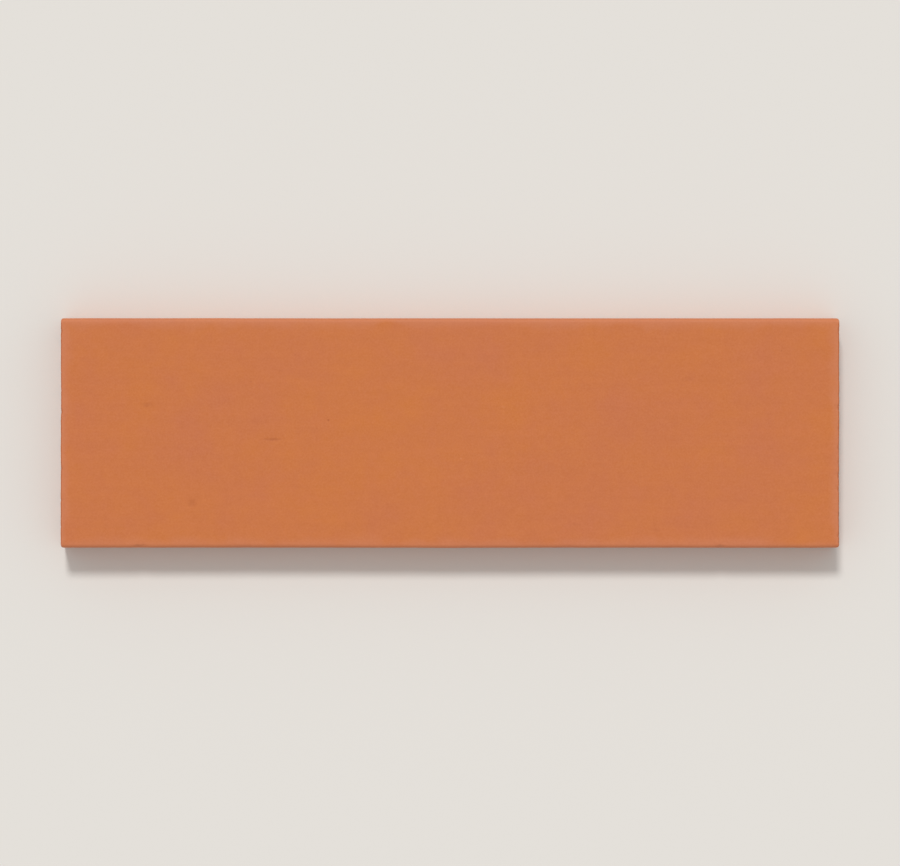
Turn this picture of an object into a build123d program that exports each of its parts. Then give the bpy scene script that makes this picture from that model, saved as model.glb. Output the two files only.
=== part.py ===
"""Clinker tile in normal format, 240 x 71 x 14 mm.

The tile is extruded along its length, wire-cut to length and fired as one
piece. X runs along the tile, Y up its face as it is laid and Z out of the
face. The origin is the middle of the back, on the plane that the tile is
bedded on, so it lies back down on Z = 0. All sizes are in millimetres.
"""

from build123d import *
from math import floor
import os

# Outside of the tile
LENGTH = 240.0
HEIGHT = 71.0
THICKNESS = 14.0

# Edges: the die rounds the long ones, the cutting wire leaves the ends nearly sharp
FACE_ARRIS_RADIUS = 1.2
BACK_ARRIS_RADIUS = 0.9
CUT_EDGE_RADIUS = 0.35
CORNER_RADIUS = 0.7

# Keying grooves: dovetails along the back that lock the tile to its bedding
GROOVE_MOUTH = 3.4
GROOVE_UNDERCUT = 0.6
GROOVE_DEPTH = 1.8
GROOVE_ROOT_RADIUS = 0.5
GROOVE_LIP_RADIUS = 0.3
RIB_WIDTH = 4.6

# As many grooves as leave at least a rib's width of land along both long edges
groove_pitch = GROOVE_MOUTH + RIB_WIDTH
groove_count = floor((HEIGHT - RIB_WIDTH) / groove_pitch)
groove_root = GROOVE_MOUTH + 2 * GROOVE_UNDERCUT

with BuildPart() as clinker_tile:
    # Section that the die gives: a bar with dovetail grooves in its back, all corners rounded
    with BuildSketch(Plane.YZ) as section:
        Rectangle(HEIGHT, THICKNESS, align=(Align.CENTER, Align.MIN))
        with GridLocations(groove_pitch, 0, groove_count, 1):
            Polygon(
                (-GROOVE_MOUTH / 2, 0),
                (GROOVE_MOUTH / 2, 0),
                (groove_root / 2, GROOVE_DEPTH),
                (-groove_root / 2, GROOVE_DEPTH),
                align=None,
                mode=Mode.SUBTRACT,
            )
        # In turn: the face's corners, the grooves' roots, their lips, and the back's two corners
        fillet(section.vertices().group_by(Axis.Y)[-1], FACE_ARRIS_RADIUS)
        fillet(section.vertices().group_by(Axis.Y)[1], GROOVE_ROOT_RADIUS)
        fillet(section.vertices().group_by(Axis.Y)[0].sort_by(Axis.X)[1:-1], GROOVE_LIP_RADIUS)
        fillet(section.vertices().group_by(Axis.Y)[0].sort_by(Axis.X)[:1], BACK_ARRIS_RADIUS)
        fillet(section.vertices().group_by(Axis.Y)[0].sort_by(Axis.X)[-1:], BACK_ARRIS_RADIUS)
    extrude(amount=LENGTH / 2, both=True)

    # Outline seen on the face: the four corners are slightly blunted
    with BuildSketch(Plane.XY) as outline:
        RectangleRounded(LENGTH, HEIGHT, CORNER_RADIUS)
    extrude(amount=THICKNESS, mode=Mode.INTERSECT)

    # Outline seen on the long side: the wire-cut ends have a small radius
    with BuildSketch(Plane.XZ) as side:
        with Locations((0, THICKNESS / 2)):
            RectangleRounded(LENGTH, THICKNESS, CUT_EDGE_RADIUS)
    extrude(amount=HEIGHT / 2, both=True, mode=Mode.INTERSECT)

clinker_tile.part.label = "clinker_tile"
os.makedirs("parts", exist_ok=True)
export_step(clinker_tile.part, "parts/clinker_tile.step")

print(f"grooves: {groove_count} at {groove_pitch:.2f} mm pitch")
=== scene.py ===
"""Looks of a clinker tile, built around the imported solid.

The tile is one closed skin: the section that the die gives, carried from one
wire-cut end to the other. Small departures of real fired clay lie inside the
solid's box: long edges that waver, chipped edges, worn ribs and the lines that
the cutting wire drags. X runs along the tile, Y up its face and Z out of the
face, in metres.
"""

import logging
import math
from abc import ABC, abstractmethod
from dataclasses import dataclass, field
from enum import Enum, IntEnum
from typing import Any

import bpy
import numpy as np
from mathutils import Matrix, Vector


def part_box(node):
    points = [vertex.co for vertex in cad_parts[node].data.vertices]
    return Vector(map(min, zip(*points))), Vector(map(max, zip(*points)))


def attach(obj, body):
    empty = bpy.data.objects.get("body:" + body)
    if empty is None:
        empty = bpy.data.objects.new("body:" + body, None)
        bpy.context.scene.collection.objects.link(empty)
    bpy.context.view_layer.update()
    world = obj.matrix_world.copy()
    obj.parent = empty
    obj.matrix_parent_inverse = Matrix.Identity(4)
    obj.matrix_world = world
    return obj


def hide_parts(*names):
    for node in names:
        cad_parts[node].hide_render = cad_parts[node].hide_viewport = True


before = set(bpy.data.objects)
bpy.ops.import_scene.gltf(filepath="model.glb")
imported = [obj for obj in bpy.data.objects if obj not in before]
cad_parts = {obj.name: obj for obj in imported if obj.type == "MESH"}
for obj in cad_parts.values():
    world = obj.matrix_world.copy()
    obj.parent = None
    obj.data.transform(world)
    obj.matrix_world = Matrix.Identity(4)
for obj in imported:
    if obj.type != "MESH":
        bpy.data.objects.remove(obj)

MM = 0.001
# Less than any step of the mesh, so that a point on a limit counts as inside it
HAIR = 0.001 * MM
NODE = "clinker_tile"
BODY = "root"

# Size of a noise cell over a coordinate that is only -1 or 1, so that each of the two has its own noise
APART = 0.4
# Lean of the cutting wire's lines from upright: a slope in the mesh, an angle in radians in the material
WIRE_LEAN = 0.12
# The Mix node's colour sockets, by number: by name come the sockets that it has for plain numbers
MIX_SHARE, MIX_FIRST, MIX_SECOND, MIX_RESULT = 0, 6, 7, 2

log = logging.getLogger("clinker_tile")

Socket = bpy.types.NodeSocket
Sockets = bpy.types.bpy_prop_collection
Tree = bpy.types.NodeTree
Amount = Socket | float
Parts = dict[Socket, float]


def linear(hex_colour: str) -> tuple[float, float, float, float]:
    """Turn an sRGB hex colour into the linear colour that a socket takes.

    Args:
        hex_colour: six hex digits after a hash, as in "#C9784D".

    Returns:
        Red, green, blue and an alpha of 1, linear.
    """
    shares = [int(hex_colour[i : i + 2], 16) / 255 for i in (1, 3, 5)]
    red, green, blue = (s / 12.92 if s <= 0.04045 else ((s + 0.055) / 1.055) ** 2.4 for s in shares)
    return red, green, blue, 1.0


def add_node(tree: Tree, kind: str, sockets: dict[str | int, Any] | None = None, **settings: Any) -> Sockets:
    """Add a node with its settings, its constant inputs and its links.

    Args:
        tree: the node tree.
        kind: the node's type, without the leading "ShaderNode".
        sockets: for an input's name or number, the output that feeds it or a constant.
        settings: the node's own properties, such as a Math node's operation where it doesn't add.

    Returns:
        The new node's outputs.
    """
    node = tree.nodes.new("ShaderNode" + kind)
    for name, value in settings.items():
        setattr(node, name, value)
    for key, value in (sockets or {}).items():
        if isinstance(value, Socket):
            tree.links.new(value, node.inputs[key])
        else:
            node.inputs[key].default_value = value
    return node.outputs


def vary(tree: Tree, centre: Amount, parts: Parts) -> Socket:
    """Let a value vary with patterns of 0 to 1: centre, plus each pattern less 0.5, times its weight.

    Args:
        tree: the node tree.
        centre: the value where every pattern is at 0.5.
        parts: the weight of each pattern.

    Returns:
        The varied value.
    """
    total = add_node(tree, "Math", {0: centre, 1: -0.5 * sum(parts.values())})[0]
    for pattern, weight in parts.items():
        total = add_node(tree, "Math", {0: pattern, 1: weight, 2: total}, operation="MULTIPLY_ADD")[0]
    return total


@dataclass(frozen=True)
class Noise:
    """Value noise over two coordinates.

    Random numbers from -1 to 1 stand on a lattice. Between four of them the
    value is their bilinear blend, with each share t eased to 3t squared minus
    2t cubed, so that it has no creases.

    Attributes:
        cell_u, cell_v: size of a lattice cell along the first coordinate and the second.
        weight: what the value is multiplied by.
        level: only what stands above it counts, and where it is None all does.
        side: how many cells the lattice has each way before it repeats.
    """

    cell_u: float
    cell_v: float
    seed: int
    weight: float
    level: float | None = None
    side: int = 512

    def at(self, u: np.ndarray, v: np.ndarray) -> np.ndarray:
        """Work out the noise, times its weight.

        Args:
            u, v: the two coordinates of each point.

        Returns:
            The noise at each point.
        """
        lattice = np.random.default_rng(self.seed).uniform(-1, 1, (self.side, self.side))
        a, b = u / self.cell_u, v / self.cell_v
        column, row = np.floor(a).astype(int), np.floor(b).astype(int)
        s, t = a - column, b - row
        s, t = s * s * (3 - 2 * s), t * t * (3 - 2 * t)
        left, right = column % self.side, (column + 1) % self.side
        below, above = row % self.side, (row + 1) % self.side
        low = lattice[left, below] * (1 - s) + lattice[right, below] * s
        high = lattice[left, above] * (1 - s) + lattice[right, above] * s
        value = low * (1 - t) + high * t
        if self.level is not None:
            value = np.clip(value - self.level, 0, None)
        return self.weight * value


def uneven(*noises: np.ndarray) -> np.ndarray:
    """A half plus noises whose weights add up to a half, so that it runs from 0 to 1."""
    return sum(noises, start=0.5)


def near(depth: np.ndarray, reach: float) -> np.ndarray:
    """Weight that falls from 1 on an edge to 0 at a depth of reach, as the square of what is left."""
    return np.clip(1 - depth / reach, 0, 1) ** 2


def arc_drop(distance: np.ndarray, radius: float) -> np.ndarray:
    """Drop of a rounded edge at a distance from its end: the radius less the circle's height there."""
    return radius - np.sqrt(np.clip(radius**2 - np.clip(radius - distance, 0, radius) ** 2, 0, None))


class Surface(IntEnum):
    """The three ways in which the tile's surface was made, numbered as its material slots."""

    DIE_SKIN = 0
    WIRE_CUT = 1
    GROOVED_BACK = 2


@dataclass(frozen=True)
class DieSection:
    """Section of the column that leaves the die: Y across the face, Z from the back up, in metres.

    Its points lie on level rows. Above the grooves a row spans the whole tile,
    and below their roots it spans each rib, so the same rows and columns also
    fill the cut ends. Each count of cells is even, so that a loop of every
    second point still has a point on each corner.

    Attributes:
        mouth, undercut, depth: a groove's width at the back, how far each wall leans out, its depth.
        rib: width of the land between two grooves.
    """

    half: float
    thickness: float
    face_arris: float = 1.2 * MM
    back_arris: float = 0.9 * MM
    mouth: float = 3.4 * MM
    undercut: float = 0.6 * MM
    depth: float = 1.8 * MM
    root_radius: float = 0.5 * MM
    lip_radius: float = 0.3 * MM
    rib: float = 4.6 * MM
    rib_cells: int = 10
    groove_cells: int = 10
    lip_cells: int = 4
    wall_cells: int = 2
    root_cells: int = 4
    side_cells: int = 22
    arris_cells: int = 12

    @property
    def lean(self) -> float:
        """Sine of the angle by which a groove's wall leans from upright."""
        return self.undercut / math.hypot(self.undercut, self.depth)

    @property
    def groove_centres(self) -> np.ndarray:
        """Y of each groove, as many as leave a rib's width of land along both long edges."""
        count = math.floor((2 * self.half - self.rib) / (self.mouth + self.rib))
        return (np.arange(count) - (count - 1) / 2) * (self.mouth + self.rib)

    def groove_half_width(self, z: np.ndarray) -> np.ndarray:
        """Half the width of a groove at each height.

        The wall is a straight line that leans out towards the root. An arc
        tangent to the back rounds its lip, and one tangent to the root its corner.

        Args:
            z: heights above the back, up to the groove's depth.

        Returns:
            The half widths.
        """
        upright = math.sqrt(1 - self.lean**2)
        root_centre = self.depth - self.root_radius
        lip_y = self.mouth / 2 + self.lip_radius * (1 + self.lean) / upright
        root_y = self.mouth / 2 + (root_centre * self.lean - self.root_radius) / upright
        lip = lip_y - np.sqrt(np.clip(self.lip_radius**2 - (z - self.lip_radius) ** 2, 0, None))
        root = root_y + np.sqrt(np.clip(self.root_radius**2 - (z - root_centre) ** 2, 0, None))
        wall = self.mouth / 2 + z * self.lean / upright
        on_lip = z < self.lip_radius * (1 + self.lean)
        on_root = z > self.depth - self.root_radius * (1 + self.lean)
        return np.select([on_lip, on_root], [lip, root], wall)

    def half_height(self, z: np.ndarray) -> np.ndarray:
        """Half the section's height across the face at each z, where the long edges' radii draw it in."""
        return self.half - arc_drop(self.thickness - z, self.face_arris) - arc_drop(z, self.back_arris)

    def on_back(self, y: np.ndarray, z: np.ndarray) -> np.ndarray:
        """Which of the outline's points are on the back or in its grooves, between its two rounded edges."""
        return (z < self.depth + HAIR) & (np.abs(y) < self.half - self.back_arris + HAIR)

    def rows(self) -> tuple[np.ndarray, int]:
        """Heights of the rows, closer along every arc.

        Returns:
            The heights, and the number of the row at the grooves' roots.
        """
        lean, upright = math.asin(self.lean), math.pi / 2
        lip = self.lip_radius * (1 + np.sin(np.linspace(-upright, lean, self.lip_cells + 1)))
        root = self.depth - self.root_radius * (1 - np.sin(np.linspace(-lean, upright, self.root_cells + 1)))
        wall = np.linspace(lip[-1], root[0], self.wall_cells + 1)
        side = np.linspace(self.depth, self.thickness - self.face_arris, self.side_cells + 1)
        arris = self.thickness - self.face_arris * (1 - np.sin(np.linspace(0, upright, self.arris_cells + 1)))
        below = np.concatenate([lip, wall[1:-1], root])
        return np.concatenate([below, side[1:], arris[1:]]), len(below) - 1

    def grid(self) -> tuple[np.ndarray, np.ndarray, np.ndarray, np.ndarray]:
        """Points and cells that fill the section, and the loop round it.

        Along a row above the roots, Y is a column's place at the root times the
        row's half height over the full one. Along a row of a rib, Y is the
        column's share of the way from the rib's one wall to its other.

        Returns:
            Y of every row and column, Z of every row, which cells are clay, and
            the rows and columns that go round the section anticlockwise as seen
            from +X.
        """
        z, root_row = self.rows()
        centres = self.groove_centres
        root_half = float(self.groove_half_width(np.array(self.depth)))
        edges = np.sort(np.concatenate([centres - root_half, centres + root_half, [-self.half, self.half]]))
        cells = np.where(np.arange(len(edges) - 1) % 2, self.groove_cells, self.rib_cells)
        starts = np.concatenate([[0], np.cumsum(cells)])
        root_y = np.interp(np.arange(starts[-1] + 1), starts, edges)

        y = root_y * (self.half_height(z) / self.half)[:, None]
        clay = np.ones((len(z) - 1, len(root_y) - 1), bool)
        below = z[: root_row + 1]
        up_wall, down_wall = np.arange(1, root_row), np.arange(root_row - 1, 0, -1)
        runs = []
        for band, (first, last) in enumerate(zip(starts[:-1], starts[1:])):
            groove, across = band // 2, np.arange(first, last + 1)
            if band % 2:
                clay[:root_row, first:last] = False
                runs += [(up_wall, first), (root_row, across), (down_wall, last)]
            else:
                opening = self.groove_half_width(below)
                left = -self.half_height(below) if band == 0 else centres[groove - 1] + opening
                right = self.half_height(below) if last == starts[-1] else centres[groove] - opening
                share = np.linspace(0, 1, last - first + 1)
                y[: root_row + 1, first : last + 1] = left[:, None] + (right - left)[:, None] * share
                runs.append((0, across))
        top, far = len(z) - 1, starts[-1]
        runs += [(np.arange(1, top), far), (top, np.arange(far, -1, -1)), (np.arange(top - 1, 0, -1), 0)]
        loop = [np.column_stack(np.broadcast_arrays(rows, columns)) for rows, columns in runs]
        return y, z, clay, np.concatenate(loop)


class Places:
    """Where points of the undisturbed tile are, one array for each measure, in metres.

    Attributes:
        x, y, z: along the tile, up the face and above the back.
        end, side: which end and which long side is nearer, -1 or 1, and 0 half-way.
        from_end, from_side, from_face: distance from that end, from that side and from the face.
        end_z: z with a shift that gives each end noise of its own.
    """

    def __init__(self, points: np.ndarray, outer: tuple[float, float, float]) -> None:
        """Measure the points.

        Args:
            points: the points, one to a row.
            outer: half the tile's length, half its height, and its thickness.
        """
        self.x, self.y, self.z = points.T
        self.end, self.side = np.sign(self.x), np.sign(self.y)
        self.from_end, self.from_side, self.from_face = (outer - np.abs(points)).T
        self.end_z = self.z + self.end


@dataclass(frozen=True)
class ChippedEdges:
    """Chips in two opposite edges of the face.

    Attributes:
        least, most: the least and the most that one reaches, in metres.
        spread: share of an edge, about its middle, in which they stand.
        shallow, deeper: least depth as a share of the reach, and what the deepest has more.
        ragged: noise that stretches the distance from the edge, for a ragged outline.
    """

    count: int
    least: float
    most: float
    seed: int
    spread: float = 0.98
    shallow: float = 0.14
    deeper: float = 0.11
    ragged: Noise = Noise(1.1 * MM, 1.1 * MM, 9, 0.4)

    def chips(self, half_run: float) -> np.ndarray:
        """Draw the chips. Most are small, because the reach grows as the cube of a draw.

        Args:
            half_run: half the edge's length.

        Returns:
            For each its middle along the edge, which of the two edges, -1 or 1, its reach and depth.
        """
        place, side, size, depth = np.random.default_rng(self.seed).random((self.count, 4)).T
        middle, edge = self.spread * half_run * (2 * place - 1), np.where(side > 0.5, 1, -1)
        reach = self.least + (self.most - self.least) * size**3
        return np.column_stack([middle, edge, reach, (self.shallow + self.deeper * depth) * reach])

    def bite(
        self, at: Places, run: np.ndarray, from_wall: np.ndarray, way: np.ndarray, half_run: float
    ) -> np.ndarray:
        """Depth that the chips take off at each point.

        A chip takes its depth times what is left of 1 after the square of the
        distance from its middle, in reaches. Where chips meet, the deeper counts.

        Args:
            at: where the points are.
            run: their place along the edge.
            from_wall: their distance from the end or side that meets the face in the edge.
            way: which of the two edges is nearer, -1 or 1.
            half_run: half the edge's length.

        Returns:
            The depths.
        """
        # Both coordinates take in some of Z, so that the outline is ragged down the wall too
        ragged = 1 + self.ragged.at(at.x + at.z, at.y + 0.5 * at.z)
        rim = ragged * np.hypot(from_wall, at.from_face)
        deepest = np.zeros(run.shape)
        for middle, edge, reach, depth in self.chips(half_run):
            left = np.clip(1 - ((run - middle) ** 2 + rim**2) / reach**2, 0, 1)
            deepest = np.maximum(deepest, depth * left * (way == edge))
        return deepest


@dataclass(frozen=True)
class CutEnds:
    """The two ends, where the wire cut the column, and how far they lie inside their planes.

    Each movement fades out at its reach from the end.

    Attributes:
        radius: radius along the face and the back.
        waver: most that an end wanders inwards.
        bow, ripple: slow and quicker noise of the wander.
        drag: depth of the wire's drag lines.
        broad_lines, fine_lines: noise of the lines, long along Z.
        tears, pits: noise that tears the clay open and leaves pits, in depths of a line.
    """

    radius: float = 0.35 * MM
    radius_reach: float = 2.2 * MM
    waver: float = 0.35 * MM
    waver_reach: float = 9 * MM
    bow: Noise = Noise(24 * MM, APART, 5, 0.3)
    ripple: Noise = Noise(5 * MM, 6 * MM, 6, 0.2)
    drag: float = 0.11 * MM
    drag_reach: float = 1.3 * MM
    broad_lines: Noise = Noise(1.7 * MM, 14 * MM, 7, 0.28)
    fine_lines: Noise = Noise(0.8 * MM, 7 * MM, 10, 0.22)
    tears: Noise = Noise(2.4 * MM, 2.0 * MM, 8, 1.6, level=0.55)
    pits: Noise = Noise(1.0 * MM, 1.2 * MM, 11, 1.4, level=0.62)

    def inward(self, at: Places) -> np.ndarray:
        """How far each point moves in along X: rounding, wander, and lines with tears and pits.

        Args:
            at: where the points are.

        Returns:
            The distances.
        """
        across = at.y + WIRE_LEAN * at.z
        rounding = arc_drop(at.from_face, self.radius) + arc_drop(at.z, self.radius)
        wander = uneven(self.bow.at(at.y, at.end), self.ripple.at(at.y, at.end_z))
        lines = uneven(self.broad_lines.at(across, at.end_z), self.fine_lines.at(across, at.end_z))
        open_clay = lines + self.tears.at(at.y, at.end_z) + self.pits.at(at.y, at.end_z)
        inward = rounding * near(at.from_end, self.radius_reach)
        inward += self.waver * wander * near(at.from_end, self.waver_reach)
        return inward + self.drag * open_clay * near(at.from_end, self.drag_reach)


@dataclass(frozen=True)
class LongEdges:
    """The face's long edges and corners, and how far they lie inside the long sides' planes.

    Attributes:
        corner, corner_reach: radius of the face's corners, and how far from the side it fades out.
        waver: most that a long edge wanders inwards.
        waver_reach, waver_depth: how far from the side and below the face that fades out.
    """

    corner: float = 0.7 * MM
    corner_reach: float = 4 * MM
    waver: float = 0.5 * MM
    waver_reach: float = 14 * MM
    waver_depth: float = 12 * MM
    slow: Noise = Noise(34 * MM, APART, 1, 0.36)
    quick: Noise = Noise(7 * MM, APART, 2, 0.14)

    def inward(self, at: Places) -> np.ndarray:
        """How far each point moves in along Y: the rounded corners and the wander.

        Args:
            at: where the points are.

        Returns:
            The distances.
        """
        rounding = arc_drop(at.from_end, self.corner) * near(at.from_side, self.corner_reach)
        wander = self.waver * uneven(self.slow.at(at.x, at.side), self.quick.at(at.x, at.side))
        return rounding + wander * near(at.from_side, self.waver_reach) * near(at.from_face, self.waver_depth)


@dataclass(frozen=True)
class WornSurface:
    """A surface across Z that fired or wore unevenly, and how far it lies inside its plane.

    Attributes:
        most: most that it lies inside.
        reach: how deep below the plane that fades out.
        noises: noise over X and Y, with weights that add up to a half.
    """

    most: float
    reach: float
    noises: tuple[Noise, ...]

    def inward(self, at: Places, depth: np.ndarray) -> np.ndarray:
        """How far each point moves in, from its depth below the plane."""
        return self.most * uneven(*(noise.at(at.x, at.y) for noise in self.noises)) * near(depth, self.reach)


@dataclass(frozen=True)
class LoopSpacing:
    """How the loops round the tile follow one another along it, in metres.

    Attributes:
        plain: distance between two loops on a plain stretch.
        at_end, end_growth: distance at an end, and how fast it grows away from it.
        in_chip, chip_growth: the same for a chip in a long edge.
        samples: at how many places it is worked out.
    """

    plain: float = 1.7 * MM
    at_end: float = 0.07 * MM
    end_growth: float = 0.25
    in_chip: float = 0.4 * MM
    chip_growth: float = 0.3
    samples: int = 24001

    def stations(self, half: float, chips: np.ndarray) -> np.ndarray:
        """X of every loop.

        The wished distance grows evenly away from an end, and from a chip, up
        to that of a plain stretch. Loops stand where the running integral of
        one over that distance passes equal steps.

        Args:
            half: half the tile's length.
            chips: the chips in its long edges.

        Returns:
            The places, from the -X end to the +X end.
        """
        x = np.linspace(-half, half, self.samples)
        wish = np.minimum(self.plain, self.at_end + self.end_growth * (half - np.abs(x)))
        for middle, _, reach, _ in chips:
            beyond = np.clip(np.abs(x - middle) - reach, 0, None)
            wish = np.minimum(wish, self.in_chip + self.chip_growth * beyond)
        per_step = np.diff(x) * (1 / wish[1:] + 1 / wish[:-1]) / 2
        passed = np.concatenate([[0], np.cumsum(per_step)])
        return np.interp(np.linspace(0, passed[-1], math.ceil(passed[-1]) + 1), passed, x)


@dataclass
class Skin:
    """A mesh in the making.

    Attributes:
        points: blocks of points, one to a row.
        faces: the numbers of the points round each face.
        kinds: the Surface number of each face.
    """

    points: list[np.ndarray] = field(default_factory=list)
    faces: list[list[int]] = field(default_factory=list)
    kinds: list[int] = field(default_factory=list)

    def add_points(self, x: np.ndarray | float, y: np.ndarray, z: np.ndarray) -> np.ndarray:
        """Add the points that X, Y and Z give when they are broadcast to one shape.

        Args:
            x, y, z: the points' coordinates.

        Returns:
            The points' numbers, in that shape.
        """
        block = np.stack(np.broadcast_arrays(x, y, z), axis=-1)
        start = sum(map(len, self.points))
        self.points.append(block.reshape(-1, 3))
        return start + np.arange(block.size // 3).reshape(block.shape[:-1])

    def add_faces(self, corners: list[np.ndarray], kinds: np.ndarray | int) -> None:
        """Add a face for each place in the corners' arrays.

        Args:
            corners: for each corner in turn, the number of its point in every face.
            kinds: the Surface numbers, broadcast to the shape of those arrays.
        """
        block = np.stack(corners, axis=-1)
        self.faces += block.reshape(-1, len(corners)).tolist()
        self.kinds += np.broadcast_to(kinds, block.shape[:-1]).ravel().tolist()


@dataclass
class ClinkerTile:
    """The whole tile: one closed skin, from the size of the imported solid.

    Attributes:
        length, height, thickness: along X, Y and Z.
        ends, edges: the wire-cut ends, and the face's long edges and corners.
        face, ribs: the slow hollows of the face, and the wear of the ribs on the back.
        end_chips, side_chips: chips in the face's cut edges and in its long ones.
        chip_fall: share of a chip's depth that it also takes off the face.
        fine_end: how far from the ends the loops have all of the section's points.
    """

    length: float
    height: float
    thickness: float
    ends: CutEnds = CutEnds()
    edges: LongEdges = LongEdges()
    face: WornSurface = WornSurface(0.12 * MM, 3 * MM, (Noise(38 * MM, 21 * MM, 4, 0.5),))
    ribs: WornSurface = WornSurface(
        0.14 * MM, 1.2 * MM, (Noise(16 * MM, 7 * MM, 12, 0.3), Noise(4 * MM, 3 * MM, 13, 0.2))
    )
    end_chips: ChippedEdges = ChippedEdges(14, 0.6 * MM, 1.5 * MM, 71)
    side_chips: ChippedEdges = ChippedEdges(10, 0.8 * MM, 1.5 * MM, 240)
    chip_fall: float = 0.7
    spacing: LoopSpacing = LoopSpacing()
    fine_end: float = 3.2 * MM

    @property
    def outer(self) -> tuple[float, float, float]:
        """Half the length, half the height, and the thickness: the largest X, Y and Z."""
        return self.length / 2, self.height / 2, self.thickness

    def skin(self) -> Skin:
        """The undisturbed tile: the section's loop carried along it, and its cells over both ends.

        Near the ends a loop has all of the section's points. Between them it
        has every second one, and a ring of five-sided faces joins the two.

        Returns:
            The skin, with faces that point outwards.
        """
        half_length, half_height, thickness = self.outer
        section = DieSection(half_height, thickness)
        y, z, clay, loop = section.grid()
        rows, columns = loop.T
        loop_y, loop_z = y[rows, columns], z[rows]
        on_back = section.on_back(loop_y, loop_z)
        x = self.spacing.stations(half_length, self.side_chips.chips(half_length))
        plain_half = half_length - self.fine_end
        first, last = np.searchsorted(x, (-plain_half, plain_half))

        skin = Skin()
        spans, kinds = [], []
        for stations, step in ((x[:first], 1), (x[first:last], 2), (x[last:], 1)):
            span = skin.add_points(stations[:, None], loop_y[::step], loop_z[::step])
            both_on_back = on_back[::step] & np.roll(on_back[::step], -1)
            kind = np.where(both_on_back, Surface.GROOVED_BACK, Surface.DIE_SKIN)
            ahead = np.roll(span, -1, axis=1)
            skin.add_faces([span[:-1], ahead[:-1], ahead[1:], span[1:]], kind)
            spans.append(span)
            kinds.append(kind)
        left, middle, right = spans
        for fine, coarse, order in ((left[-1], middle[0], 1), (right[0], middle[-1], -1)):
            ring = [fine[::2], fine[1::2], np.roll(fine[::2], -1), np.roll(coarse, -1), coarse]
            skin.add_faces(ring[::order], kinds[1])

        cell_rows, cell_columns = np.nonzero(clay)
        corners = [(cell_rows + r, cell_columns + c) for r, c in ((0, 0), (0, 1), (1, 1), (1, 0))]
        inner = np.zeros(y.shape, bool)
        for corner in corners:
            inner[corner] = True
        inner[rows, columns] = False
        inner_z = np.broadcast_to(z[:, None], y.shape)[inner]
        for end, rim, order in ((x[0], left[0], -1), (x[-1], right[-1], 1)):
            numbers = np.zeros(y.shape, int)
            numbers[rows, columns] = rim
            numbers[inner] = skin.add_points(end, y[inner], inner_z)
            skin.add_faces([numbers[corner] for corner in corners][::order], Surface.WIRE_CUT)
        return skin

    def shape(self, points: np.ndarray) -> np.ndarray:
        """Round and disturb the undisturbed skin, always inwards.

        X draws in at the ends and Y at the long edges. Z sinks in the face's
        hollows and rises where the ribs are worn. Chips go in and down.

        Args:
            points: the skin's points.

        Returns:
            The points moved.
        """
        at = Places(points, self.outer)
        off_ends = self.end_chips.bite(at, at.y, at.from_end, at.end, self.outer[1])
        off_sides = self.side_chips.bite(at, at.x, at.from_side, at.side, self.outer[0])
        sinking = self.face.inward(at, at.from_face) - self.ribs.inward(at, at.z)
        x = at.x - at.end * (self.ends.inward(at) + off_ends)
        y = at.y - at.side * (self.edges.inward(at) + off_sides)
        z = at.z - sinking - self.chip_fall * (off_ends + off_sides)
        return np.column_stack([x, y, z])

    def build(self) -> bpy.types.Object:
        """Make the tile's mesh and dress it.

        Returns:
            The tile's object, at the origin, with its three finishes.
        """
        skin = self.skin()
        points = self.shape(np.concatenate(skin.points))
        mesh = bpy.data.meshes.new("tile_skin")
        mesh.from_pydata(points.tolist(), [], skin.faces)
        mesh.polygons.foreach_set("material_index", skin.kinds)
        mesh.shade_smooth()
        for finish in (DieSkin(outer=self.outer), WireCut(), GroovedBack()):
            mesh.materials.append(finish.material())
        tile = bpy.data.objects.new("fired_clinker_tile", mesh)
        bpy.context.scene.collection.objects.link(tile)
        return tile


@dataclass(frozen=True)
class Layer:
    """A layer of the shader's noise.

    Attributes:
        size_mm: size of its largest swells in millimetres.
        detail: how many layers, each finer by half, are added to them.
        finer: strength of each of those against the one before.
    """

    size_mm: float
    detail: float
    finer: float = 0.5

    @property
    def sockets(self) -> dict[str, float]:
        """The same values as a noise node's sockets take them."""
        return {"Scale": 1 / (self.size_mm * MM), "Detail": self.detail, "Roughness": self.finer}


@dataclass(frozen=True)
class Grains:
    """Round grains or pores in the clay, at most one in each cell of a Voronoi pattern.

    Attributes:
        cell_mm: size of a cell in millimetres.
        empty: share of the cells that hold none.
        largest: radius of the largest, in cells.
        soft: width of the soft edge, in cells.
    """

    cell_mm: float
    empty: float
    largest: float
    soft: float = 0.09

    def shown(self, tree: Tree, place: Socket, ragged: Parts | None = None) -> tuple[Socket, Socket]:
        """Show the grains.

        Where a cell's random number is under the empty share, its grain has no
        radius. From there up to 1 the radius grows to the largest.

        Args:
            tree: the node tree.
            place: the coordinates.
            ragged: patterns that make the outline ragged, and their weights in cells.

        Returns:
            0 outside a grain and 1 further in than its soft edge, and a second random
            number of that cell.
        """
        cells = add_node(tree, "TexVoronoi", {"Vector": place, "Scale": 1 / (self.cell_mm * MM)})
        chance = add_node(tree, "SeparateColor", {0: cells["Color"]})
        growth = {"Value": chance[0], "From Min": self.empty, "To Max": self.largest}
        sizes = {0: add_node(tree, "MapRange", growth)[0], 1: cells["Distance"]}
        inside = add_node(tree, "Math", sizes, operation="SUBTRACT")[0]
        if ragged:
            inside = vary(tree, inside, ragged)
        return add_node(tree, "MapRange", {"Value": inside, "From Max": self.soft})[0], chance[1]


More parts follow.
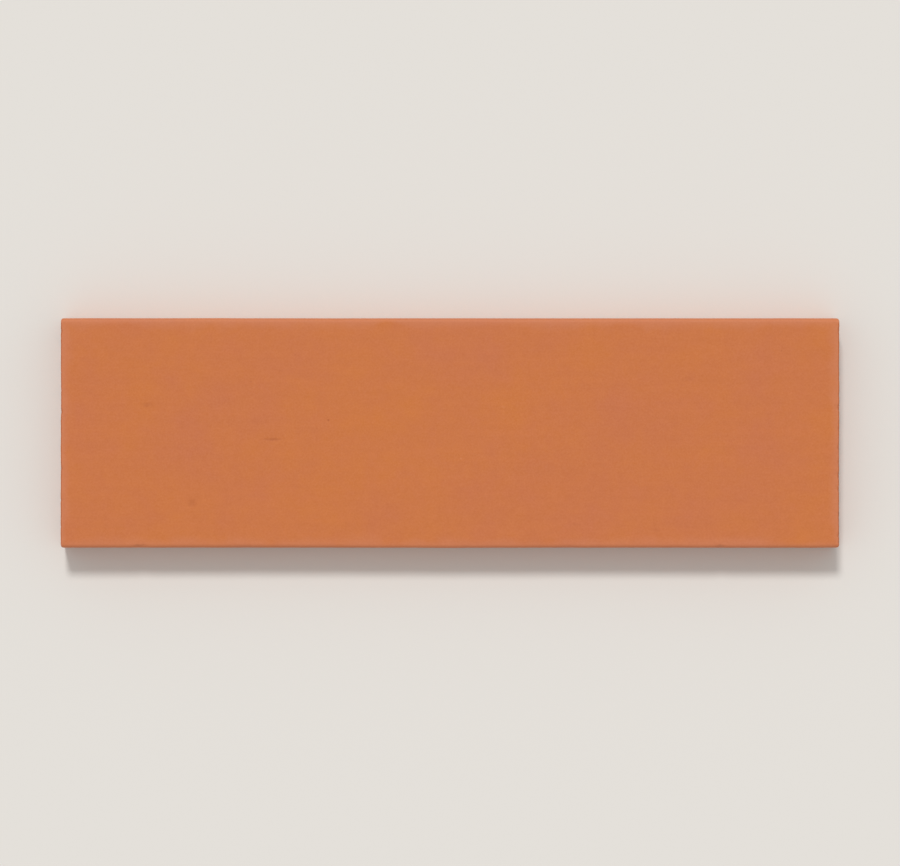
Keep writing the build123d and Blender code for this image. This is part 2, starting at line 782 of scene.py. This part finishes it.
@dataclass(frozen=True, kw_only=True)
class FiredClay(ABC):
    """Fired clinker clay, what the three finishes share.

    It is a dense ceramic, and matt because its skin is microscopically rough.

    Attributes:
        roughness: how widely it spreads a gleam.
        ior: refractive index, typical of fired clay.
        gleam: specular level, below the usual 0.5 because pores too fine to
            draw swallow part of the gleam.
    """

    name: str
    roughness: float
    ior: float = 1.5
    gleam: float = 0.3

    @abstractmethod
    def pattern(self, tree: Tree, place: Socket) -> tuple[Socket, Socket, Amount]:
        """Colour, height in millimetres and roughness over the surface."""

    def material(self) -> bpy.types.Material:
        """Build the material: the finish's pattern over one shader.

        Returns:
            The finished material.
        """
        made = bpy.data.materials.new(self.name)
        made.use_nodes = True
        tree = made.node_tree
        tree.nodes.clear()
        colour, height, rough = self.pattern(tree, add_node(tree, "TexCoord")["Object"])
        bump = add_node(tree, "Bump", {"Height": height, "Strength": 1.0, "Distance": MM})[0]
        look = {"Base Color": colour, "Roughness": rough, "Normal": bump}
        shader = add_node(tree, "BsdfPrincipled", look | {"IOR": self.ior, "Specular IOR Level": self.gleam})
        add_node(tree, "OutputMaterial", {"Surface": shader[0]})
        return made


class MarkKind(Enum):
    """What a firing mark on the face looks like: its share of dark, of pale and of depth."""

    SMUDGE = (0.14, 0.0, 0.1)
    SHADOW = (0.07, 0.0, 0.05)
    DRAG_MARK = (0.22, 0.0, 0.5)
    BLISTER = (0.13, 0.0, 0.4)
    PALE_GRAIN = (0.0, 0.09, -0.2)


@dataclass(frozen=True)
class Mark:
    """A mark on the face, in millimetres from its middle: place, half length, half height and kind."""

    x: float
    y: float
    half_length: float
    half_height: float
    kind: MarkKind


@dataclass(frozen=True, kw_only=True)
class DieSkin(FiredClay):
    """Clinker clay that a polished steel die has smoothed: the face and the long sides.

    The eye sees an even, almost matt orange. It drifts slowly between a yellower
    and a pinker orange, carries faint lines along the tile from the die, a fine
    sandy grain, a few pinholes and grains, and pales a little at its edges.

    Attributes:
        outer: half the tile's length, half its height, and its thickness, in metres.
        dark, pale: colours of dark and of pale specks and marks.
        cloud, streak: noise of the colour's drift, and of the die's lines.
        streak_squeeze: what X is multiplied by for those lines, to make them long.
        dark_specks: share of the specks that are dark.
        edge_mm, edge_drift: mean width of the paler edge, and the noise that widens and narrows it.
        speck_strength, edge_strength: how much of its colour a speck and the very edge show.
        smear, smear_weight: noise that smears the marks' outlines, and its weight.
        mark_core, mark_end: how far out a mark has its full strength, and where it ends. The last
            three are in half sizes of the mark.
    """

    outer: tuple[float, float, float]
    name: str = "clinker_clay_die_skin"
    roughness: float = 0.6
    warm: str = "#C87130"
    pink: str = "#C66E41"
    edge: str = "#CB7C59"
    sand: str = "#D09474"
    dark: str = "#7F2A0E"
    pale: str = "#E69E78"
    cloud: Layer = Layer(30.0, 6.0, 0.68)
    mottle: Layer = Layer(2.6, 3.0, 0.68)
    streak: Layer = Layer(1.6, 3.0, 0.68)
    # The clay's sand is nearer 0.2 mm: it is drawn coarser so that it shows.
    grain: Layer = Layer(0.6, 2.0, 0.68)
    streak_squeeze: float = 0.04
    specks: Grains = Grains(3.4, 0.9, 0.14, 0.08)
    dark_specks: float = 0.7
    speck_strength: float = 0.3
    edge_mm: float = 4.0
    edge_drift: Layer = Layer(9.0, 2.0)
    edge_strength: float = 0.6
    smear: Layer = Layer(1.1, 3.0)
    smear_weight: float = 1.4
    mark_core: float = 0.2
    mark_end: float = 1.1
    marks: tuple[Mark, ...] = (
        Mark(-93.0, 8.7, 2.1, 1.1, MarkKind.SMUDGE),
        Mark(-54.4, -2.0, 3.4, 0.6, MarkKind.DRAG_MARK),
        Mark(-79.3, -21.4, 1.9, 1.4, MarkKind.BLISTER),
        Mark(16.4, 8.0, 1.2, 0.8, MarkKind.PALE_GRAIN),
        Mark(73.6, 16.6, 3.0, 1.0, MarkKind.SHADOW),
        Mark(38.8, -28.1, 2.4, 0.8, MarkKind.SHADOW),
        Mark(63.6, -29.8, 2.2, 0.8, MarkKind.SHADOW),
    )

    def edge_share(self, tree: Tree, place: Socket) -> Socket:
        """How near a point is to an edge of the face, from 0 in the field to its most on the edge.

        Of the point's depths below the ends, the long sides and the face, the
        middle one is its distance to the nearest edge. Slow noise makes the
        band uneven.

        Args:
            tree: the node tree.
            place: Object coordinates.

        Returns:
            The share.
        """
        folded = add_node(tree, "VectorMath", {0: place}, operation="ABSOLUTE")[0]
        depths = add_node(tree, "VectorMath", {0: self.outer, 1: folded}, operation="SUBTRACT")[0]
        end, side, face = add_node(tree, "SeparateXYZ", {0: depths})
        low = add_node(tree, "Math", {0: end, 1: side}, operation="MINIMUM")[0]
        high = add_node(tree, "Math", {0: end, 1: side}, operation="MAXIMUM")[0]
        capped = add_node(tree, "Math", {0: high, 1: face}, operation="MINIMUM")[0]
        middle = add_node(tree, "Math", {0: low, 1: capped}, operation="MAXIMUM")[0]
        drift = add_node(tree, "TexNoise", {"Vector": place} | self.edge_drift.sockets)[0]
        # The noise is 0.5 on average, so twice the mean width makes it the width
        reach = add_node(tree, "Math", {0: drift, 1: 2 * self.edge_mm * MM}, operation="MULTIPLY")[0]
        share = add_node(tree, "Math", {0: middle, 1: reach}, operation="DIVIDE")[0]
        fade = {"Value": share, "To Min": self.edge_strength, "To Max": 0.0}
        return add_node(tree, "MapRange", fade, interpolation_type="SMOOTHSTEP")[0]

    def mark_shares(self, tree: Tree, place: Socket) -> list[Amount]:
        """Dark, pale and depth of the face's marks: soft ellipses round their places, smeared by noise.

        Args:
            tree: the node tree.
            place: Object coordinates.

        Returns:
            The three sums over all marks.
        """
        smeared = add_node(tree, "TexNoise", {"Vector": place} | self.smear.sockets)[0]
        limits = {"From Min": self.mark_core, "From Max": self.mark_end, "To Min": 1.0, "To Max": 0.0}
        sums: list[Amount] = [0.0, 0.0, 0.0]
        for mark in self.marks:
            middle = (mark.x * MM, mark.y * MM, 0.0)
            stretch = (1 / (mark.half_length * MM), 1 / (mark.half_height * MM), 0.0)
            offset = add_node(tree, "VectorMath", {0: place, 1: middle}, operation="SUBTRACT")[0]
            scaled = add_node(tree, "VectorMath", {0: offset, 1: stretch}, operation="MULTIPLY")[0]
            away = add_node(tree, "VectorMath", {0: scaled}, operation="LENGTH")["Value"]
            fade = {"Value": vary(tree, away, {smeared: self.smear_weight})} | limits
            spot = add_node(tree, "MapRange", fade, interpolation_type="SMOOTHSTEP")[0]
            for part, weight in enumerate(mark.kind.value):
                if weight:
                    terms = {0: spot, 1: weight, 2: sums[part]}
                    sums[part] = add_node(tree, "Math", terms, operation="MULTIPLY_ADD")[0]
        return sums

    def pattern(self, tree: Tree, place: Socket) -> tuple[Socket, Socket, Amount]:
        """Colour drift, paler edges, streaks, mottle, grain, specks and marks.

        Args:
            tree: the node tree.
            place: Object coordinates.

        Returns:
            Colour, height in millimetres and roughness.
        """
        drawn = add_node(tree, "Mapping", {"Vector": place, "Scale": (self.streak_squeeze, 1.0, 1.0)})[0]
        layers = ((self.cloud, place), (self.mottle, place), (self.grain, place), (self.streak, drawn))
        cloud, mottle, grain, streak = (
            add_node(tree, "TexNoise", {"Vector": over} | layer.sockets)[0] for layer, over in layers
        )

        drift = add_node(tree, "MapRange", {"Value": cloud, "From Min": 0.3, "From Max": 0.7})[0]
        sandy = vary(tree, 0.06, {grain: 0.24, mottle: 0.10})
        colour = linear(self.warm)
        edge = self.edge_share(tree, place)
        for share, tint in ((drift, self.pink), (edge, self.edge), (sandy, self.sand)):
            tinted = {MIX_SHARE: share, MIX_FIRST: colour, MIX_SECOND: linear(tint)}
            colour = add_node(tree, "Mix", tinted, data_type="RGBA")[MIX_RESULT]
        shade = vary(tree, 1.0, {cloud: -0.08, mottle: 0.08, grain: 0.10, streak: 0.06})
        colour = add_node(tree, "VectorMath", {0: colour, "Scale": shade}, operation="SCALE")[0]

        speck, chance = self.specks.shown(tree, place)
        is_pale = add_node(tree, "Math", {0: chance, 1: self.dark_specks}, operation="GREATER_THAN")[0]
        pale_speck = add_node(tree, "Math", {0: speck, 1: is_pale}, operation="MULTIPLY")[0]
        dark_speck = add_node(tree, "Math", {0: speck, 1: pale_speck}, operation="SUBTRACT")[0]
        dark_mark, pale_mark, pit = self.mark_shares(tree, place)
        # Dark specks are sunk pinholes and dark grains: their dark is partly painted shade in the pinholes
        # and partly the clay's own colour.
        for specks, marks, tint in ((dark_speck, dark_mark, self.dark), (pale_speck, pale_mark, self.pale)):
            terms = {0: specks, 1: self.speck_strength, 2: marks}
            share = add_node(tree, "Math", terms, operation="MULTIPLY_ADD", use_clamp=True)[0]
            spotted = {MIX_SHARE: share, MIX_FIRST: colour, MIX_SECOND: linear(tint)}
            colour = add_node(tree, "Mix", spotted, data_type="RGBA")[MIX_RESULT]

        relief = {grain: 0.010, mottle: 0.014, streak: 0.008, dark_speck: -0.05, pit: -0.10}
        return colour, vary(tree, 0.0, relief), vary(tree, self.roughness, {mottle: 0.3})


@dataclass(frozen=True, kw_only=True)
class WireCut(FiredClay):
    """Clinker clay where a taut wire cut the soft column: the two ends.

    The wire drags grains along, so the eye sees an open, sandy surface with
    nearly upright lines, grains of crushed fired clay and small pores, duller
    than the skin.

    Attributes:
        line_stretch: how many times longer than wide the drag lines are.
        grog, grog_strength: the grains of crushed clay, and how much of its colour one shows.
        pore_squeeze: what Z is multiplied by for the pores, to make them long.
    """

    name: str = "clinker_clay_wire_cut"
    roughness: float = 0.82
    body: str = "#BE6C41"
    grain_light: str = "#D48C62"
    grain_dark: str = "#8E4D2E"
    lines: Layer = Layer(0.5, 4.0)
    sand: Layer = Layer(0.35, 4.0)
    clumps: Layer = Layer(3.5, 4.0)
    line_stretch: float = 14.0
    grog: Grains = Grains(1.3, 0.3, 0.36)
    grog_strength: float = 0.55
    pores: Grains = Grains(2.2, 0.7, 0.15)
    pore_squeeze: float = 0.3

    def pattern(self, tree: Tree, place: Socket) -> tuple[Socket, Socket, Amount]:
        """Drag lines, sand, clumps, torn grains of crushed fired clay, and pores that the wire drew out.

        Args:
            tree: the node tree.
            place: Object coordinates.

        Returns:
            Colour, height in millimetres and roughness.
        """
        # A texture mapping turns before it stretches, so the lines lean as the mesh's drag lines do
        leaning = {"Vector": place, "Rotation": (WIRE_LEAN, 0.0, 0.0), "Scale": (1.0, 1.0, self.line_stretch)}
        drawn = add_node(tree, "Mapping", leaning, vector_type="TEXTURE")[0]
        torn = add_node(tree, "Mapping", {"Vector": place, "Scale": (1.0, 1.0, self.pore_squeeze)})[0]
        layers = ((self.lines, drawn), (self.sand, place), (self.clumps, place))
        lines, sand, clump = (
            add_node(tree, "TexNoise", {"Vector": over} | layer.sockets)[0] for layer, over in layers
        )

        ragged = {sand: 0.5, lines: 0.25}
        grog, tone = self.grog.shown(tree, place, ragged)
        pore, _ = self.pores.shown(tree, torn, ragged)
        tones = {MIX_SHARE: tone, MIX_FIRST: linear(self.grain_dark), MIX_SECOND: linear(self.grain_light)}
        grog_tint = add_node(tree, "Mix", tones, data_type="RGBA")[MIX_RESULT]
        seen = add_node(tree, "Math", {0: grog, 1: self.grog_strength}, operation="MULTIPLY")[0]
        mixed = {MIX_SHARE: seen, MIX_FIRST: linear(self.body), MIX_SECOND: grog_tint}
        colour = add_node(tree, "Mix", mixed, data_type="RGBA")[MIX_RESULT]
        # The pores' darkening is painted shade in their hollows, on top of their sunk relief.
        shade = vary(tree, 0.8, {lines: 0.36, sand: 0.34, clump: 0.22, pore: -0.4})
        colour = add_node(tree, "VectorMath", {0: colour, "Scale": shade}, operation="SCALE")[0]
        relief = {lines: 0.16, sand: 0.10, clump: 0.20, grog: 0.04, pore: -0.25}
        return colour, vary(tree, 0.0, relief), self.roughness


@dataclass(frozen=True, kw_only=True)
class GroovedBack(FiredClay):
    """Clinker clay of the keyed back, drawn through the die's teeth and left as it comes.

    The eye sees the same clay as on the face, but chalkier, with coarse lines
    and drawn-out pores along the ribs and a thin paler dusting of sand.

    Attributes:
        dust, dust_most: colour of the dusting, and how much of it shows at most.
        line_squeeze, pore_squeeze: what X is multiplied by for the two, to make them long.
    """

    name: str = "clinker_clay_grooved_back"
    roughness: float = 0.85
    body: str = "#BE6D44"
    dust: str = "#CC9070"
    dust_most: float = 0.5
    lines: Layer = Layer(0.45, 4.0)
    grain: Layer = Layer(0.4, 4.0)
    patches: Layer = Layer(9.0, 4.0)
    pores: Grains = Grains(2.6, 0.75, 0.12)
    line_squeeze: float = 0.05
    pore_squeeze: float = 0.3

    def pattern(self, tree: Tree, place: Socket) -> tuple[Socket, Socket, Amount]:
        """Lines along X, sandy grain, pores, and dust where slow and fine noise agree.

        Args:
            tree: the node tree.
            place: Object coordinates.

        Returns:
            Colour, height in millimetres and roughness.
        """
        drawn, torn = (
            add_node(tree, "Mapping", {"Vector": place, "Scale": (squeeze, 1.0, 1.0)})[0]
            for squeeze in (self.line_squeeze, self.pore_squeeze)
        )
        layers = ((self.lines, drawn), (self.grain, place), (self.patches, place))
        lines, grain, patch = (
            add_node(tree, "TexNoise", {"Vector": over} | layer.sockets)[0] for layer, over in layers
        )

        pore, _ = self.pores.shown(tree, torn, {grain: 0.4})
        agreed = vary(tree, 0.5, {patch: 0.8, grain: 0.7, lines: 0.8})
        dusted = {"Value": agreed, "From Min": 0.5, "From Max": 0.9, "To Max": self.dust_most}
        dusting = add_node(tree, "MapRange", dusted)[0]
        tints = {MIX_SHARE: dusting, MIX_FIRST: linear(self.body), MIX_SECOND: linear(self.dust)}
        colour = add_node(tree, "Mix", tints, data_type="RGBA")[MIX_RESULT]
        # The pores' darkening is painted shade in their hollows, on top of their sunk relief.
        shade = vary(tree, 0.92, {lines: 0.22, grain: 0.16, patch: 0.08, pore: -0.3})
        colour = add_node(tree, "VectorMath", {0: colour, "Scale": shade}, operation="SCALE")[0]
        return colour, vary(tree, 0.0, {lines: 0.06, grain: 0.05, pore: -0.15}), self.roughness


@dataclass(frozen=True)
class Studio:
    """Plain pale floor, soft light from above the top of the picture, and the camera over the face.

    Attributes:
        floor: colour of the floor and of what is seen past it.
        floor_half, floor_gap: half its side, and how far it lies below the back, in metres.
        floor_roughness: its roughness. It has no gleam.
        dome_share: share of the floor's light that comes evenly from all round.
        key_elevation, key_azimuth: height of the key light, and its bearing from +Y towards +X,
            in degrees.
        key_angle: how wide the key light is, in degrees, for its soft shadow.
        lens, sensor: focal length, long so that the face is seen straight on all over, and width
            of the sensor, in millimetres.
        sight: how far the camera sees, in metres.
    """

    floor: str = "#E4E0DA"
    floor_half: float = 8.0
    floor_gap: float = 0.02 * MM
    floor_roughness: float = 0.9
    dome_share: float = 0.58
    key_elevation: float = 56.0
    key_azimuth: float = -8.0
    key_angle: float = 11.0
    lens: float = 200.0
    sensor: float = 36.0
    sight: float = 100.0
    tile_width_px: float = 780.0
    picture_width_px: float = 900.0

    def lay_floor(self) -> None:
        """Lay a level square just under the tile, not attached to its body."""
        h, z = self.floor_half, -self.floor_gap
        mesh = bpy.data.meshes.new("studio_floor")
        mesh.from_pydata([(-h, -h, z), (h, -h, z), (h, h, z), (-h, h, z)], [], [(0, 1, 2, 3)])
        material = bpy.data.materials.new("pale_studio_floor")
        material.use_nodes = True
        inputs = material.node_tree.nodes["Principled BSDF"].inputs
        inputs["Base Color"].default_value = linear(self.floor)
        inputs["Roughness"].default_value = self.floor_roughness
        inputs["Specular IOR Level"].default_value = 0.0
        mesh.materials.append(material)
        floor = bpy.data.objects.new("studio_floor", mesh)
        bpy.context.scene.collection.objects.link(floor)

    def light(self) -> None:
        """Share out the floor's light so that a colour renders as written: an even dome and one wide sun."""
        world = bpy.data.worlds.new("studio_dome")
        bpy.context.scene.world = world
        world.use_nodes = True
        tree = world.node_tree
        tree.nodes.clear()
        dome = add_node(tree, "Background", {"Color": (1.0, 1.0, 1.0, 1.0), "Strength": self.dome_share})
        seen = add_node(tree, "Background", {"Color": linear(self.floor), "Strength": 1.0})
        ray = add_node(tree, "LightPath")
        mirrored = add_node(tree, "Math", {0: ray["Is Glossy Ray"], 1: ray["Is Transmission Ray"]})[0]
        looking = add_node(tree, "Math", {0: ray["Is Camera Ray"], 1: mirrored}, use_clamp=True)[0]
        both = add_node(tree, "MixShader", {0: looking, 1: dome[0], 2: seen[0]})
        add_node(tree, "OutputWorld", {"Surface": both[0]})

        elevation, azimuth = math.radians(self.key_elevation), math.radians(self.key_azimuth)
        sun = bpy.data.lights.new("key", "SUN")
        sun.energy = (1 - self.dome_share) * math.pi / math.sin(elevation)
        sun.angle = math.radians(self.key_angle)
        key = bpy.data.objects.new("key", sun)
        level = math.cos(elevation)
        towards = Vector((math.sin(azimuth) * level, math.cos(azimuth) * level, math.sin(elevation)))
        key.matrix_world = towards.to_track_quat("Z", "Y").to_matrix().to_4x4()
        bpy.context.scene.collection.objects.link(key)

    def place_camera(self, length: float, thickness: float) -> None:
        """Hang the camera over the middle of the face, with +Y up the picture.

        Args:
            length: the tile's length, which fills tile_width_px of the picture.
            thickness: the tile's thickness, the height of the face.
        """
        across = length * self.picture_width_px / self.tile_width_px
        data = bpy.data.cameras.new("over_the_face")
        data.lens, data.sensor_width, data.clip_end = self.lens, self.sensor, self.sight
        camera = bpy.data.objects.new("over_the_face", data)
        distance = across * self.lens / self.sensor
        camera.matrix_world = Matrix.Translation((0.0, 0.0, thickness + distance))
        bpy.context.scene.collection.objects.link(camera)
        bpy.context.scene.camera = camera


def main() -> None:
    """Build the tile and the studio."""
    logging.basicConfig(level=logging.INFO, format="%(message)s")
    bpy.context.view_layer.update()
    low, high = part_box(NODE)
    length, height, thickness = high - low
    tile = ClinkerTile(length, height, thickness).build()
    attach(tile, BODY)
    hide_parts(NODE)
    log.info("%s: %d points, %d faces", tile.name, len(tile.data.vertices), len(tile.data.polygons))

    studio = Studio()
    studio.lay_floor()
    studio.light()
    studio.place_camera(length, thickness)
    bpy.context.scene.view_settings.view_transform = "Standard"
    log.info("studio: floor, dome, key light and camera")


if __name__ == "__main__":
    main()
